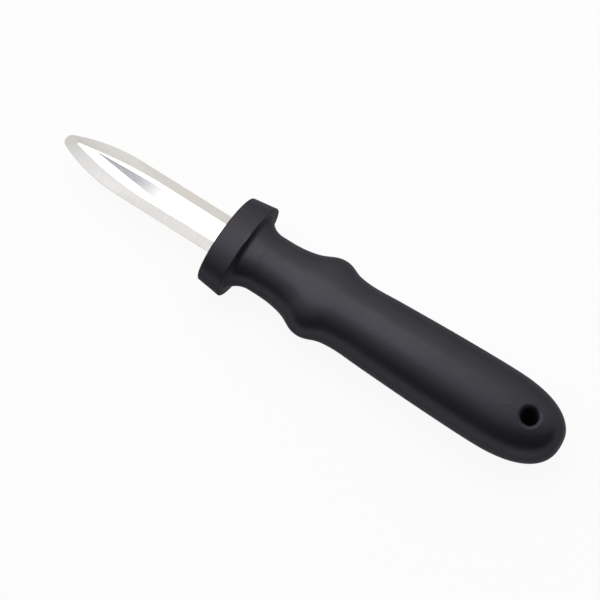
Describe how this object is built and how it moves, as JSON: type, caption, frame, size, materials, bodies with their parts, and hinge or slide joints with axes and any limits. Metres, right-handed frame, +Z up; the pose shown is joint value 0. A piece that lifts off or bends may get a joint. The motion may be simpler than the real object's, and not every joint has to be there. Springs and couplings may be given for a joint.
{
  "type": "oyster knife",
  "caption": "Oyster knife: short double-edged spear blade with satin bevels in a matte black moulded handle with an oval guard, finger ridge, palm swell and hanging hole.",
  "frame": {"origin": "under the middle of the knife's whole length, on the level that the lying knife rests on", "axes": "+X along the knife from the tip to the butt, +Y across its broad face, +Z up, square to the broad face"},
  "size_m": [0.2186, 0.0398, 0.0258],
  "materials": {
    "blade_steel": "polished flat with satin ground bevels",
    "core_plastic": "plain, as moulded",
    "grip_plastic": "fine matte moulded texture"
  },
  "bodies": {
    "root": {"blade": "blade_steel", "handle_core": "core_plastic", "grip": "grip_plastic"}
  },
  "joints": []
}
